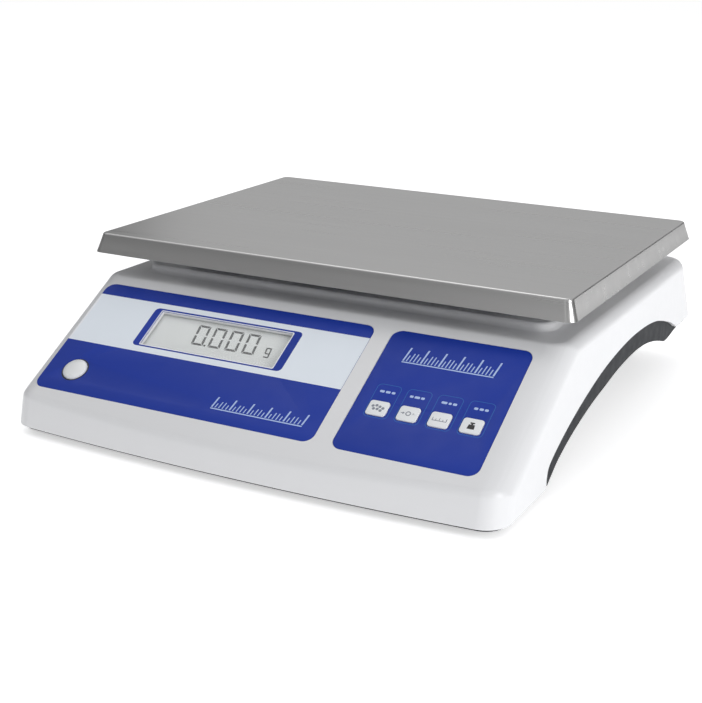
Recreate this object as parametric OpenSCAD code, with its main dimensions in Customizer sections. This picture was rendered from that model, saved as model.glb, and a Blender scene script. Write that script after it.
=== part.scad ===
// Counting scale: bench weighing scale with a steel pan on a single-point load cell,
// a moulded two-part housing, a sloped console with display, power button and four keys,
// and four levelling feet. Millimetres, +Z up, +X right, -Y front (console side).
// Origin: on the table under the centre of the scale.

/* [Housing] */
// Half width of the moulded housing
body_hw = 151.5; // [150:0.5:153]
// Height of the flat top of the housing
deck_z = 75; // [74:0.5:76]
// Wall thickness of the upper housing
wall = 2.6; // [2.2:0.1:3]
// Wall thickness of the lower housing
tray_wall = 2.4; // [2:0.1:2.6]
// Angle of the console above the table
slope = 30.4; // [30:0.1:31]
// Height of the raised platform under the pan
plat_h = 4.5; // [3.5:0.5:5]

/* [Pan] */
// Width of the flat top of the pan
pan_w = 300; // [290:1:302]
// Depth of the flat top of the pan
pan_d = 219.5; // [210:0.5:222]
// Height of the pan surface above the table
pan_z = 101; // [101:0.5:103]
// Drop of the pan skirt
skirt = 11.7; // [9:0.1:12]
// Outward lean of the pan skirt
splay = 3.6; // [2:0.1:4]
// Sheet thickness of the pan
sheet = 1.2; // [1:0.1:1.5]

/* [Console] */
// Travel of the power button
button_travel = 1.2; // [0.8:0.1:1.4]
// Width of one key pad
key_w = 11.4; // [10:0.1:12]
// Height of one key pad along the slope
key_h = 9.8; // [9:0.1:10.5]
// Distance between key centres
key_pitch = 17.6; // [17:0.1:18]

/* [Feet] */
// Radius of the rubber foot pads
pad_r = 12; // [10:0.5:12.5]
// Radius of the levelling screw
foot_screw_r = 4; // [3:0.5:4]

/* [Hidden] */
$fn = 48;

white = [0.93, 0.93, 0.94];
dark = [0.24, 0.25, 0.27];
steel = [0.72, 0.72, 0.73];
alu = [0.80, 0.81, 0.82];
blue = [0.13, 0.25, 0.62];
green = [0.10, 0.38, 0.22];

// ---- housing section, as (y, z) corner points running from the front bottom over the top ----
shell_bottom = 6;
tray_bottom = 4;
leg_z = 31.5;          // lower edge of the shell at the rear leg
tan_s = tan(slope);
con_y = -161;          // the console frame starts at the labels' lower edge
con_z = 28;
function con_zy(y) = con_z + (y - con_y) * tan_s;
crease_y = con_y + (deck_z - con_z) / tan_s;
prof = [[-176.5, shell_bottom], [-173.4, con_zy(-173.4)], [crease_y, deck_z], [145, deck_z],
        [174, 31.7], [176.5, shell_bottom]];
rt = 8;                // corner rounding in plan is rt + rf
rf = 7;                // edge rounding

// bow of the front edge: how far back it falls at x
function bow(x) = 6 * pow(x / 150, 2);
// plane through a and b in the section: outward normal and distance
function nrm(a, b) = let (d = b - a, l = norm(d)) [-d[1] / l, d[0] / l];
function meet(n1, d1, n2, d2) = let (k = n1[0] * n2[1] - n1[1] * n2[0])
  [(d1 * n2[1] - d2 * n1[1]) / k, (n1[0] * d2 - n2[0] * d1) / k];
function sup(n) = rt * abs(n[0]) + rf;
// centre of the rounding ring at section corner i, with the front wall moved back by b
function ring_at(i, b = 0) = let (
  s = (i == 1) ? [b, 0] : [0, 0],
  n1 = nrm(prof[i - 1], prof[i]), n2 = nrm(prof[i], prof[i + 1]))
  meet(n1, n1 * (prof[i - 1] + s) - sup(n1), n2, n2 * prof[i + 1] - sup(n2));

module ring(r) rotate_extrude($fn = 16) translate([rt, 0]) circle(r, $fn = 12);

// the housing's outer form, taken in by t; its foot runs from z0 to the section's bottom
module form(t, z0) {
  cx = body_hw - rt - rf;
  xs = [-cx, -70, 0, 70, cx];
  hull() {
    for (x = xs) {
      p = ring_at(1, bow(x));
      translate([x, p[0], p[1]]) ring(rf - t);
      translate([x, prof[0][0] + bow(x) + rt + rf, z0])
        cylinder(r = rt + rf - t, h = shell_bottom + 0.5 - z0, $fn = 16);
    }
    for (x = [-cx, cx]) {
      for (i = [2, 3, 4]) { p = ring_at(i); translate([x, p[0], p[1]]) ring(rf - t); }
      translate([x, prof[5][0] - rt - rf, z0])
        cylinder(r = rt + rf - t, h = shell_bottom + 0.5 - z0, $fn = 16);
    }
  }
}

// ---- side arch ----
arch_k = [[-109.6, 1], [-109.5, 7], [-109.2, 14], [-104, 20.3], [-80, 31], [-50, 40.5],
          [-20, 47.2], [15, 51.2], [45, 51.6], [75, 49], [100, 43], [118, 37], [130, leg_z],
          [140, 26]];
function cr(a, b, c, d, t) = 0.5 * ((2 * b) + (c - a) * t + (2 * a - 5 * b + 4 * c - d) * t * t
  + (3 * b - a - 3 * c + d) * t * t * t);
function crv(k, i, t) = [for (j = [0, 1]) cr(k[i - 1][j], k[i][j], k[i + 1][j], k[i + 2][j], t)];
arch_p = [for (i = [1:len(arch_k) - 3]) for (t = [0, 0.33, 0.67]) crv(arch_k, i, t)];
// lower edge of the lower housing's sides, which hang below the arch as a dark band
band_k = [[-118, -6], [-110, 0], [-100, 6], [-84, 13.5], [-68, 19.5], [-50, 24.5], [-30, 28.8],
          [-10, 31.8], [10, 34.8], [30, 36.5], [50, 37], [70, 35.6], [88, 32.4], [102, 28.8],
          [114, 25.6], [126, 26.2], [140, 27.8], [160, 27.6], [200, 27.4], [220, 27.4]];
band_p = [for (i = [2:len(band_k) - 3]) for (t = [0, 0.5]) crv(band_k, i, t)];

// extrude a (y, z) outline across the full width
module across(pts, w = 320) translate([-w / 2, 0, 0]) rotate([90, 0, 90]) linear_extrude(w) polygon(pts);

module arch_cut() across(concat([[-109.5, -5]], arch_p, [[130, leg_z], [200, leg_z], [200, -5]]));

// ---- console frame: x right, y up the slope, z out of the console ----
module console() translate([0, con_y, con_z]) rotate([slope, 0, 0]) children();

module rr(w, h, r) {
  square([w - 2 * r, h], center = true);
  square([w, h - 2 * r], center = true);
  for (i = [-1, 1]) for (j = [-1, 1])
    translate([i * (w / 2 - r), j * (h / 2 - r)]) circle(r, $fn = 32);
}
module plate(x, y, z0, z1, w, h, r) translate([x, y, z0]) linear_extrude(z1 - z0) rr(w, h, r);
module box(x0, x1, y0, y1, z0, z1) translate([x0, y0, z0]) cube([x1 - x0, y1 - y0, z1 - z0]);
module rod(x, y, z0, z1, r) translate([x, y, z0]) cylinder(r = r, h = z1 - z0);

lab_l = [-50.3, 42.85, 183, 85.7];   // display label: centre x, centre up the slope, width, height
lab_r = [92.9, 42.85, 81.4, 85.7];   // keypad label
win = [-48.9, 57.3, 89, 26.9];       // display window
btn = [-122.2, 16.5];
btn_r = 7.3;
key_s = 30.3;
function key_x(i) = 66.5 + i * key_pitch;

pan_y = 26.5;                         // centre of the pan
hub_x = 51;                           // free end of the load cell
plat = [0, 29.5, 264, 185];           // raised platform

housing_posts = [[-70, -150], [70, -150], [-112, -50], [112, -50], [-80, 138], [80, 138]];
front_foot = [96, -142];
rear_foot = [104, 138];
feet = [[-front_foot[0], front_foot[1]], front_foot, [-rear_foot[0], rear_foot[1]], rear_foot];
main_holes = [[-106, 24], [5.5, 24], [-106, 79.5], [5.5, 79.5]];
key_holes = [[57, 18.5], [131, 18.5], [57, 60], [131, 60]];
power_holes = [[-134.5, 21], [-110, 13]];
plate_holes = [[-72, pan_y - 22], [72, pan_y - 22], [-72, pan_y + 22], [72, pan_y + 22]];
level_at = [0, -46];
jack = [64, 27.2];

module upper_housing() color(white) {
  difference() {
    union() {
      form(0, shell_bottom);
      plate(plat[0], plat[1], deck_z - 5, deck_z + plat_h, plat[2], plat[3], 10);
    }
    form(wall, shell_bottom - 3);
    plate(plat[0], plat[1], deck_z - 8, deck_z + plat_h - wall, plat[2] - 2 * wall, plat[3] - 2 * wall, 8);
    arch_cut();
    plate(hub_x, pan_y, deck_z - 8, deck_z + plat_h + 1, 44, 48, 4);
    rod(level_at[0], level_at[1], deck_z - 8, deck_z + plat_h + 1, 8.05);
    console() {
      plate(lab_l[0], lab_l[1], -0.7, 3, lab_l[2] + 0.3, lab_l[3] + 0.3, 6.1);
      plate(lab_r[0], lab_r[1], -0.7, 3, lab_r[2] + 0.3, lab_r[3] + 0.3, 6.1);
      plate(win[0], win[1], -6, 3, win[2], win[3], 0.8);
      rod(btn[0], btn[1], -6, 3, btn_r + 0.3);
      for (i = [0:3]) plate(key_x(i), key_s, -6, 3, key_w + 0.5, key_h + 0.5, 2.1);
    }
  }
  // screw posts that meet the lower housing
  for (p = housing_posts) difference() {
    rod(p[0], p[1], 11.2, p[1] > 0 ? deck_z - 1 : p[1] > -100 ? deck_z + 3 : 60, 4.5);
    rod(p[0], p[1], 5, 24, 1.35);
    console() translate([-200, -60, -1.3]) cube([400, 153, 100]);
  }
  // posts for the circuit boards
  console() {
    for (p = main_holes) difference() { rod(p[0], p[1], -12.5, -1.5, 3.2); rod(p[0], p[1], -13, -5, 1.15); }
    for (p = key_holes) difference() { rod(p[0], p[1], -7.9, -1.5, 3); rod(p[0], p[1], -8, -3.5, 1.15); }
    for (p = power_holes) difference() { rod(p[0], p[1], -18.6, -1.5, 2.8); rod(p[0], p[1], -19, -11, 1.15); }
  }
}

// plan of the lower housing's deep middle part, taken in by t: wide at the front, drawn in
// towards the rear so that fingers reach under the sides
function waist(y) = 119.5 + 29 * pow(max(0, min(1, (110 - y) / 210)), 1.5);
module deep_plan(t) polygon(concat(
  [[148.5 - t, -200]],
  [for (y = [-100:15:110]) [waist(y) - t, y]],
  [[119.5 - t, 150], [117 - t, 157], [110 - t, 160 - t], [-110 + t, 160 - t], [-117 + t, 157], [-119.5 + t, 150]],
  [for (y = [110:-15:-100]) [-waist(y) + t, y]],
  [[-148.5 + t, -200]]));

module tray_room(t) {
  // side bands: full width, above the finger recess
  across(concat([[-200, tray_bottom + t], [-103 - t, tray_bottom + t]],
    [for (q = band_p) [q[0], q[1] + t]], [[200, 27.4 + t], [200, 120], [-200, 120]]));
  // rear wall between the legs comes lower
  translate([0, 0, 20.8 + t]) linear_extrude(100) polygon([[-108 + t, 100], [108 - t, 100], [108 - t, 200], [-108 + t, 200]]);
  translate([0, 0, tray_bottom + t]) linear_extrude(120) deep_plan(t);
}

module lower_housing() color(dark) {
  difference() {
    intersection() {
      form(wall + 0.4, tray_bottom);
      tray_room(0);
      box(-160, 160, -190, 190, 0, 56);
    }
    intersection() {
      union() {
        form(wall + 0.4 + tray_wall, tray_bottom);
        box(-138, 138, -160, 130, 12, 80);
      }
      tray_room(tray_wall);
    }
    for (p = feet) rod(p[0], p[1], 0, 11, 14);
    for (p = housing_posts) { rod(p[0], p[1], 0, 8, 3.8); rod(p[0], p[1], 0, 12, 1.9); }
    translate([jack[0], 180, jack[1]]) rotate([90, 0, 0]) cylinder(r = 3.8, h = 30);
  }
  for (p = feet) difference() {
    union() { rod(p[0], p[1], tray_bottom, 13.4, 15.4); rod(p[0], p[1], 11, 22, 8.5); }
    rod(p[0], p[1], 0, 11, 14);
    rod(p[0], p[1], 5, 30, 6.05);
  }
  for (p = housing_posts) difference() {
    rod(p[0], p[1], 5, 11, 6);
    rod(p[0], p[1], 0, 8, 3.8);
    rod(p[0], p[1], 0, 12, 1.9);
  }
  for (p = plate_holes) difference() { rod(p[0], p[1], 5, 12, 5); rod(p[0], p[1], 7.5, 14, 1.95); }
  difference() { rod(0, 70, 5, 10, 4.5); rod(0, 70, 7, 14, 1.55); }
}

module housing_screws() color(steel) for (p = housing_posts) {
  rod(p[0], p[1], 5.2, 7.9, 3.4);
  rod(p[0], p[1], 7.9, 22, 1.3);
}

module display_label() color(blue) console() difference() {
  plate(lab_l[0], lab_l[1], -0.7, -0.2, lab_l[2], lab_l[3], 6);
  plate(win[0], win[1], -2, 1, win[2], win[3], 0.8);
  rod(btn[0], btn[1], -2, 1, btn_r + 0.3);
}

module keypad_label() color(blue) console() difference() {
  plate(lab_r[0], lab_r[1], -0.7, -0.2, lab_r[2], lab_r[3], 6);
  for (i = [0:3]) plate(key_x(i), key_s, -2, 1, key_w + 0.5, key_h + 0.5, 2.1);
}

module display_window() color([0.85, 0.9, 0.92, 0.4]) console()
  plate(win[0], win[1], -3.6, -2.6, 95, 33, 1);

module lcd_glass() color([0.78, 0.80, 0.76]) console()
  plate(win[0], win[1], -6.5, -3.7, 94, 32, 0.5);

module lcd_bezel() color([0.15, 0.15, 0.16]) console() difference() {
  plate(win[0], win[1], -7.2, -3.6, 100, 38, 1.5);
  plate(win[0], win[1], -6.6, 0, 94.4, 32.4, 0.5);
  plate(win[0], win[1], -8, 0, 90, 31, 0.5);
}

module lcd_backlight() color([0.92, 0.95, 0.98]) console()
  plate(win[0], win[1] + 1, -10.3, -7.3, 94, 28, 0.5);

module lcd_pins() color(steel) console() for (i = [0:19])
  translate([win[0] - 38 + i * 4 - 0.3, 42.4, -12.5]) cube([0.6, 0.5, 5.8]);

module main_board() color(green) console() difference() {
  plate(-50.25, 51.75, -14.1, -12.5, 121, 65, 1);
  for (p = main_holes) rod(p[0], p[1], -15, -11, 1.6);
}

module board_screws() color(steel) console() {
  for (p = main_holes) { rod(p[0], p[1], -15.8, -14.1, 2.6); rod(p[0], p[1], -14.1, -6, 1.1); }
  for (p = key_holes) { rod(p[0], p[1], -11.2, -9.5, 2.6); rod(p[0], p[1], -9.5, -4.2, 1.1); }
  for (p = power_holes) { rod(p[0], p[1], -21.9, -20.2, 2.3); rod(p[0], p[1], -20.2, -12, 1.1); }
}

module processor_chip() color([0.12, 0.12, 0.13]) console() {
  plate(-70, 52, -15.7, -14.2, 14, 14, 0.4);
  for (i = [0:7]) for (s = [-1, 1]) {
    translate([-75.5 + i * 1.5, 52 + s * 7.9 - 0.9, -15.2]) cube([0.5, 1.8, 0.5]);
  }
}

module adc_shield() color(steel) console() difference() {
  plate(-30, 66, -20, -14.1, 26, 20, 1);
  plate(-30, 66, -19.5, -14, 25, 19, 0.6);
}

module board_components() color([0.2, 0.25, 0.3]) console() {
  for (i = [0:2]) rod(-95 + i * 9, 36, -23, -14.1, 3.2);
  for (i = [0:5]) plate(-48 + i * 6, 36, -15.2, -14.1, 3, 1.6, 0.2);
  for (i = [0:4]) plate(-50 + i * 6, 45, -14.9, -14.1, 2, 1.2, 0.2);
  plate(-12, 48, -18, -14.1, 9, 6, 0.5);
  rod(-92, 56, -18, -14.1, 3);
}

module wire_sockets() color([0.93, 0.92, 0.86]) console() {
  box(-84, -76, 62, 68, -19.6, -14.1);
  box(-62, -54, 40, 46, -19.6, -14.1);
  box(-14, -6, 60, 66, -19.6, -14.1);
  box(-6, 0, 38, 54, -12.5, -10.5);
  box(60, 66, 38, 54, -12.3, -9.5);
}

module keypad_board() color(green) console() difference() {
  plate(94, 40, -9.5, -7.9, 82, 48, 1);
  for (p = key_holes) rod(p[0], p[1], -12, -7, 1.6);
}

module key_switches() color([0.2, 0.2, 0.22]) console() for (i = [0:3]) {
  plate(key_x(i), key_s, -7.9, -4.9, 6, 6, 0.5);
  rod(key_x(i), key_s, -4.9, -4.45, 1.7);
}

module keypad_ribbon() color([0.9, 0.9, 0.88]) console() box(0, 60, 39, 53, -11.2, -10.8);

module key(i) color([0.93, 0.94, 0.95]) console() {
  plate(key_x(i), key_s, -2.9, 0.3, key_w, key_h, 1.8);
  plate(key_x(i), key_s, -3.5, -2.9, key_w + 2.6, key_h + 2.6, 2.4);
  rod(key_x(i), key_s, -3.95, -3.5, 2);
}
module count_key() key(0);
module tare_key() key(1);
module unit_key() key(2);
module calibrate_key() key(3);

// domed cap with a retaining flange and a stem
module power_button() color([0.93, 0.93, 0.94]) console() translate([btn[0], btn[1], 0])
  rotate_extrude($fn = 64) polygon(concat(
    [[0, -9], [2.5, -9], [2.5, -4.1], [8.8, -4.1], [8.8, -2.9], [btn_r, -2.9], [btn_r, 0.2]],
    [for (a = [15:15:90]) [btn_r * cos(a), 0.2 + 2.2 * sin(a)]]));

module switch_plunger() color([0.85, 0.3, 0.2]) console() rod(btn[0], btn[1], -14, -9, 1.5);

module power_switch() color([0.15, 0.15, 0.16]) console() difference() {
  plate(btn[0], btn[1], -18.6, -10.6, 8.4, 8.4, 0.5);
  rod(btn[0], btn[1], -15.6, -10, 1.58);
}

module power_switch_board() color(green) console() difference() {
  plate(-122, 17.75, -20.2, -18.6, 32, 16.5, 1);
  for (p = power_holes) rod(p[0], p[1], -22, -18, 1.6);
}

// ---- weighing system ----
cell_z = 36;
module load_cell() color(alu) difference() {
  box(-65, 65, pan_y - 15, pan_y + 15, cell_z, cell_z + 22);
  for (x = [-11, 11]) translate([x, pan_y + 20, cell_z + 11]) rotate([90, 0, 0]) cylinder(r = 8.5, h = 40);
  box(-11, 11, pan_y - 20, pan_y + 20, cell_z + 9.5, cell_z + 12.5);
  for (x = [-58, -44]) rod(x, pan_y, cell_z - 1, cell_z + 14, 3);
  for (x = [44, 58]) rod(x, pan_y, cell_z + 8, cell_z + 23, 3);
}

module gauge_cover() color([0.9, 0.88, 0.82]) difference() {
  plate(0, pan_y, cell_z - 1, cell_z + 23, 52, 32, 0.8);
  box(-40, 40, pan_y - 15, pan_y + 15, cell_z, cell_z + 22);
}

module base_plate() color(steel) difference() {
  plate(0, pan_y, 12, 15, 160, 60, 4);
  for (p = plate_holes) rod(p[0], p[1], 10, 20, 2.3);
  for (x = [-58, -44]) rod(x, pan_y, 10, 20, 3.2);
  rod(hub_x, pan_y, 10, 20, 3);
  for (x = [-15, 15]) plate(x, pan_y, 10, 20, 18, 30, 3);
}

module base_plate_screws() color(steel) for (p = plate_holes) {
  rod(p[0], p[1], 15, 17.6, 3.6);
  rod(p[0], p[1], 8, 15, 1.9);
}

module lower_spacer() color(alu) difference() {
  box(-65, -37, pan_y - 15, pan_y + 15, 15, cell_z);
  for (x = [-58, -44]) rod(x, pan_y, 10, 40, 3.2);
}

module lower_bolts() color([0.25, 0.25, 0.27]) for (x = [-58, -44]) difference() {
  union() { rod(x, pan_y, 7.4, 12, 5); rod(x, pan_y, 12, cell_z + 12, 2.95); }
  translate([x, pan_y, 7]) cylinder(r = 2.9, h = 3, $fn = 6);
}

module stop_screw() color(steel) difference() {
  rod(hub_x, pan_y, 8, cell_z - 0.6, 2.95);
  translate([hub_x, pan_y, 7]) cylinder(r = 1.7, h = 3.5, $fn = 6);
}

module stop_nut() color(steel) difference() {
  translate([hub_x, pan_y, 15]) cylinder(r = 5.8, h = 5, $fn = 6);
  rod(hub_x, pan_y, 14, 21, 3);
}

module upper_spacer() color(alu) difference() {
  box(37, 65, pan_y - 15, pan_y + 15, cell_z + 22, 64);
  for (x = [44, 58]) rod(x, pan_y, 50, 70, 3.2);
}

arm_z0 = 84;
arm_z1 = 92;
cushion_at = [[-98, pan_y - 68], [98, pan_y - 68], [-98, pan_y + 68], [98, pan_y + 68]];
module pan_support() color([0.2, 0.21, 0.22]) difference() {
  union() {
    plate(0, pan_y, arm_z0, arm_z1, 210, 34, 3);
    for (x = [-98, 98]) plate(x, pan_y, arm_z0, arm_z1, 26, 162, 6);
    plate(hub_x, pan_y, 64, arm_z0 + 1, 30, 34, 2);
  }
  for (x = [44, 58]) { rod(x, pan_y, 60, 100, 3.2); rod(x, pan_y, 80, 100, 5.6); }
  for (p = cushion_at) rod(p[0], p[1], arm_z1 - 3, arm_z1 + 1, 8.05);
  // ribbed underside
  for (x = [-66, -36, -6]) plate(x, pan_y, arm_z0 - 1, arm_z1 - 3, 27, 28, 2);
  for (x = [-98, 98]) for (y = [-38, 38]) plate(x, pan_y + y, arm_z0 - 1, arm_z1 - 3.4, 20, 36, 2);
}

module upper_bolts() color([0.25, 0.25, 0.27]) for (x = [44, 58]) difference() {
  union() { rod(x, pan_y, 80, 86, 5); rod(x, pan_y, cell_z + 10, 80, 2.95); }
  translate([x, pan_y, 83]) cylinder(r = 2.9, h = 4, $fn = 6);
}

module pan_cushions() color([0.12, 0.12, 0.13]) for (p = cushion_at)
  rod(p[0], p[1], arm_z1 - 3, pan_z - sheet, 8);

module pan_form(t, drop) hull() {
  for (i = [-1, 1]) for (j = [-1, 1]) {
    translate([i * (pan_w / 2 - 7.4), pan_y + j * (pan_d / 2 - 7.4), pan_z - 2.4])
      rotate_extrude($fn = 24) translate([5.6, 0]) circle(2.4 - t, $fn = 12);
    translate([i * (pan_w / 2 + splay - 9), pan_y + j * (pan_d / 2 + splay - 9), pan_z - skirt - drop])
      cylinder(r = 9 - t, h = 0.1 + drop, $fn = 24);
  }
}
module weighing_pan() color(steel) difference() { pan_form(0, 0); pan_form(sheet, 0.5); }

// ---- power ----
module battery() color([0.16, 0.17, 0.19]) {
  plate(0.5, 113, 6.4, 50.4, 101, 70, 2);
  plate(0.5, 113, 50.4, 53.4, 97, 66, 2);
}
module battery_terminals() color([0.75, 0.68, 0.4]) for (y = [92, 134])
  box(-44, -38, y - 3, y + 3, 53.4, 58);
module battery_strap() color(steel) difference() {
  union() {
    box(-7, 7, 76, 149.8, 53.4, 54.9);
    box(-7, 7, 148.3, 149.8, 9, 54);
    box(-7, 7, 76, 77.5, 10, 54);
    box(-7, 7, 62, 77.5, 10, 11.5);
  }
  rod(0, 70, 9, 13, 1.8);
}
module strap_screw() color(steel) { rod(0, 70, 11.5, 13.6, 3); rod(0, 70, 7.5, 11.5, 1.5); }

// round wire on a smooth curve through a chain of points
function ends(k) = concat([2 * k[0] - k[1]], k, [2 * k[len(k) - 1] - k[len(k) - 2]]);
function curve(k) = let (e = ends(k)) concat([for (i = [1:len(e) - 3]) for (t = [0, 0.25, 0.5, 0.75])
  [for (j = [0:2]) cr(e[i - 1][j], e[i][j], e[i + 1][j], e[i + 2][j], t)]], [k[len(k) - 1]]);
function unit(v) = v / norm(v);
module wire(k, r) {
  p = curve(k);
  n = len(p);
  m = 8;
  rings = [for (i = [0:n - 1]) let (t = unit(p[min(i + 1, n - 1)] - p[max(i - 1, 0)]),
    u = unit(cross(t, [0, 0, 1])), v = cross(u, t))
    for (a = [0:m - 1]) p[i] + r * (cos(a * 360 / m) * u + sin(a * 360 / m) * v)];
  polyhedron(points = rings, faces = concat(
    [[for (a = [0:m - 1]) a]],
    [for (i = [0:n - 2]) for (a = [0:m - 1]) [i * m + a, (i + 1) * m + a, (i + 1) * m + (a + 1) % m]],
    [for (i = [0:n - 2]) for (a = [0:m - 1]) [i * m + a, (i + 1) * m + (a + 1) % m, i * m + (a + 1) % m]],
    [[for (a = [m - 1:-1:0]) (n - 1) * m + a]]));
}
module battery_leads() color([0.75, 0.12, 0.1])
  wire([[-41, 92, 59.8], [-56, 84, 63], [-80, 60, 64], [-86, 10, 62], [-86, -50, 54], [-80, -94, 42.5]], 1.6);
module load_cell_cable() color([0.25, 0.25, 0.26])
  wire([[0, 10.2, 47], [0, 5, 47], [-12, -10, 45], [-36, -40, 42], [-52, -72, 37], [-58, -113, 31.6]], 1.8);
module power_leads() color([0.15, 0.15, 0.16])
  wire([[64, 150.9, 29], [64, 146, 29], [62, 138, 30], [66, 118, 32], [88, 96, 34], [100, 60, 34], [98, -20, 38], [50, -70, 42], [-10, -96, 41.5]], 1.6);
module dc_jack() color([0.1, 0.1, 0.11]) difference() {
  union() {
    box(jack[0] - 5, jack[0] + 5, 151, 164, jack[1] - 3.8, jack[1] + 6);
    translate([jack[0], 176.5, jack[1]]) rotate([90, 0, 0]) cylinder(r = 3.6, h = 13.5);
  }
  difference() {
    translate([jack[0], 178, jack[1]]) rotate([90, 0, 0]) cylinder(r = 2.85, h = 13);
    translate([jack[0], 175.5, jack[1]]) rotate([90, 0, 0]) cylinder(r = 1.05, h = 13);
  }
}

module foot_inserts() color([0.75, 0.68, 0.4]) for (p = feet) difference() {
  rod(p[0], p[1], 11.4, 22, 6);
  rod(p[0], p[1], 10, 23, foot_screw_r + 0.05);
}

module level_bezel() color([0.12, 0.12, 0.13]) difference() {
  union() {
    rod(level_at[0], level_at[1], deck_z + plat_h, deck_z + plat_h + 1.6, 10);
    rod(level_at[0], level_at[1], deck_z - 3, deck_z + plat_h, 8);
  }
  rod(level_at[0], level_at[1], deck_z - 1.5, deck_z + plat_h + 3, 6.8);
}
module level_vial() color([0.7, 0.85, 0.3, 0.6])
  rod(level_at[0], level_at[1], deck_z - 1.5, deck_z + plat_h + 1.4, 6.75);

// ---- levelling feet ----
module foot_pad(i) color([0.12, 0.12, 0.13]) difference() {
  translate([feet[i][0], feet[i][1], 0]) rotate_extrude($fn = 64)
    polygon([[0, 0], [pad_r - 0.6, 0], [pad_r, 0.8], [pad_r, 3.2], [pad_r - 1.5, 4.4], [7, 6], [0, 6]]);
  rod(feet[i][0], feet[i][1], 2.4, 8, foot_screw_r + 0.05);
}
module foot_screw(i) color(steel) {
  rod(feet[i][0], feet[i][1], 2.5, 25, foot_screw_r);
  difference() {
    rod(feet[i][0], feet[i][1], 6.2, 10.2, 11);
    for (a = [0:15:345]) translate([feet[i][0], feet[i][1], 5]) rotate([0, 0, a])
      translate([11.2, 0, 0]) cylinder(r = 0.7, h = 6, $fn = 16);
  }
}
module foot_pad_front_left() foot_pad(0);
module foot_pad_front_right() foot_pad(1);
module foot_pad_rear_left() foot_pad(2);
module foot_pad_rear_right() foot_pad(3);
module foot_screw_front_left() foot_screw(0);
module foot_screw_front_right() foot_screw(1);
module foot_screw_rear_left() foot_screw(2);
module foot_screw_rear_right() foot_screw(3);

upper_housing();
lower_housing();
housing_screws();
display_label();
keypad_label();
display_window();
lcd_glass();
lcd_bezel();
lcd_backlight();
lcd_pins();
main_board();
board_screws();
processor_chip();
adc_shield();
board_components();
wire_sockets();
keypad_board();
key_switches();
keypad_ribbon();
power_switch();
power_switch_board();
load_cell();
gauge_cover();
base_plate();
base_plate_screws();
lower_spacer();
lower_bolts();
stop_screw();
stop_nut();
battery();
battery_terminals();
battery_strap();
strap_screw();
battery_leads();
load_cell_cable();
power_leads();
dc_jack();
foot_inserts();
level_bezel();
level_vial();
pan_support();
upper_spacer();
upper_bolts();
pan_cushions();
weighing_pan();
power_button();
switch_plunger();
count_key();
tare_key();
unit_key();
calibrate_key();
foot_pad_front_left();
foot_pad_front_right();
foot_pad_rear_left();
foot_pad_rear_right();
foot_screw_front_left();
foot_screw_front_right();
foot_screw_rear_left();
foot_screw_rear_right();
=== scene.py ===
"""Counting scale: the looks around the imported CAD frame. Built in millimetres, placed in metres."""
import bpy, bmesh, math
from mathutils import Matrix, Vector

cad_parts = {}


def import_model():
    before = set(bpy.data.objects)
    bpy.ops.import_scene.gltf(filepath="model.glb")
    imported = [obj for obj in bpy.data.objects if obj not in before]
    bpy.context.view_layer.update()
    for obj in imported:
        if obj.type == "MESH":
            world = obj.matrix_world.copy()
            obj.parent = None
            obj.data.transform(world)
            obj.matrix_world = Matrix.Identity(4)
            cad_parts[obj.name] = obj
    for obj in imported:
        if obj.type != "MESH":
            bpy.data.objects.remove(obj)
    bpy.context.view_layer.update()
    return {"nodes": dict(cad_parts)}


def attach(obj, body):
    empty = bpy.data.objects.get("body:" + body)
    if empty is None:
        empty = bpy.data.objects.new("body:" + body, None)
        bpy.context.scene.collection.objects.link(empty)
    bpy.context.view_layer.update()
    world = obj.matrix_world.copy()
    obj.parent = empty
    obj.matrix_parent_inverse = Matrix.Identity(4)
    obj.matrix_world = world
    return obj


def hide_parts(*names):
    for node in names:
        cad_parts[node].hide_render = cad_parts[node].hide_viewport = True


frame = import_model()
NODE = frame["nodes"]
S = 0.001
sin, cos, tan, pi, rad = math.sin, math.cos, math.tan, math.pi, math.radians

# ------------------------------------------------------------------ camera and studio
def camera():
    a, e, roll = rad(27.92), rad(17.76), rad(0.67)
    back = Vector((sin(a) * cos(e), -cos(a) * cos(e), sin(e)))
    right = Vector((cos(a), sin(a), 0))
    up = back.cross(right)
    r2 = right * cos(roll) + up * sin(roll)
    u2 = back.cross(r2)
    cam = bpy.data.cameras.new("camera")
    cam.sensor_fit = "HORIZONTAL"
    cam.sensor_width = 36
    cam.lens = 36 * 1361.3 / 702
    cam.clip_start, cam.clip_end = 0.01, 60
    ob = bpy.data.objects.new("camera", cam)
    bpy.context.scene.collection.objects.link(ob)
    m = Matrix((r2, u2, back)).transposed().to_4x4()
    m.translation = Vector((0.3641, -0.7267, 0.2861))
    ob.matrix_world = m
    bpy.context.scene.camera = ob

camera()

def area(name, at, to, w, h, power, color=(1, 1, 1), spread=None):
    li = bpy.data.lights.new(name, "AREA")
    li.shape = "RECTANGLE"
    li.size, li.size_y = w, h
    li.energy = power
    li.color = color
    if spread:
        li.spread = rad(spread)
    ob = bpy.data.objects.new(name, li)
    bpy.context.scene.collection.objects.link(ob)
    ob.location = at
    ob.rotation_euler = (Vector(to) - Vector(at)).to_track_quat("-Z", "Y").to_euler()
    return ob

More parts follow.
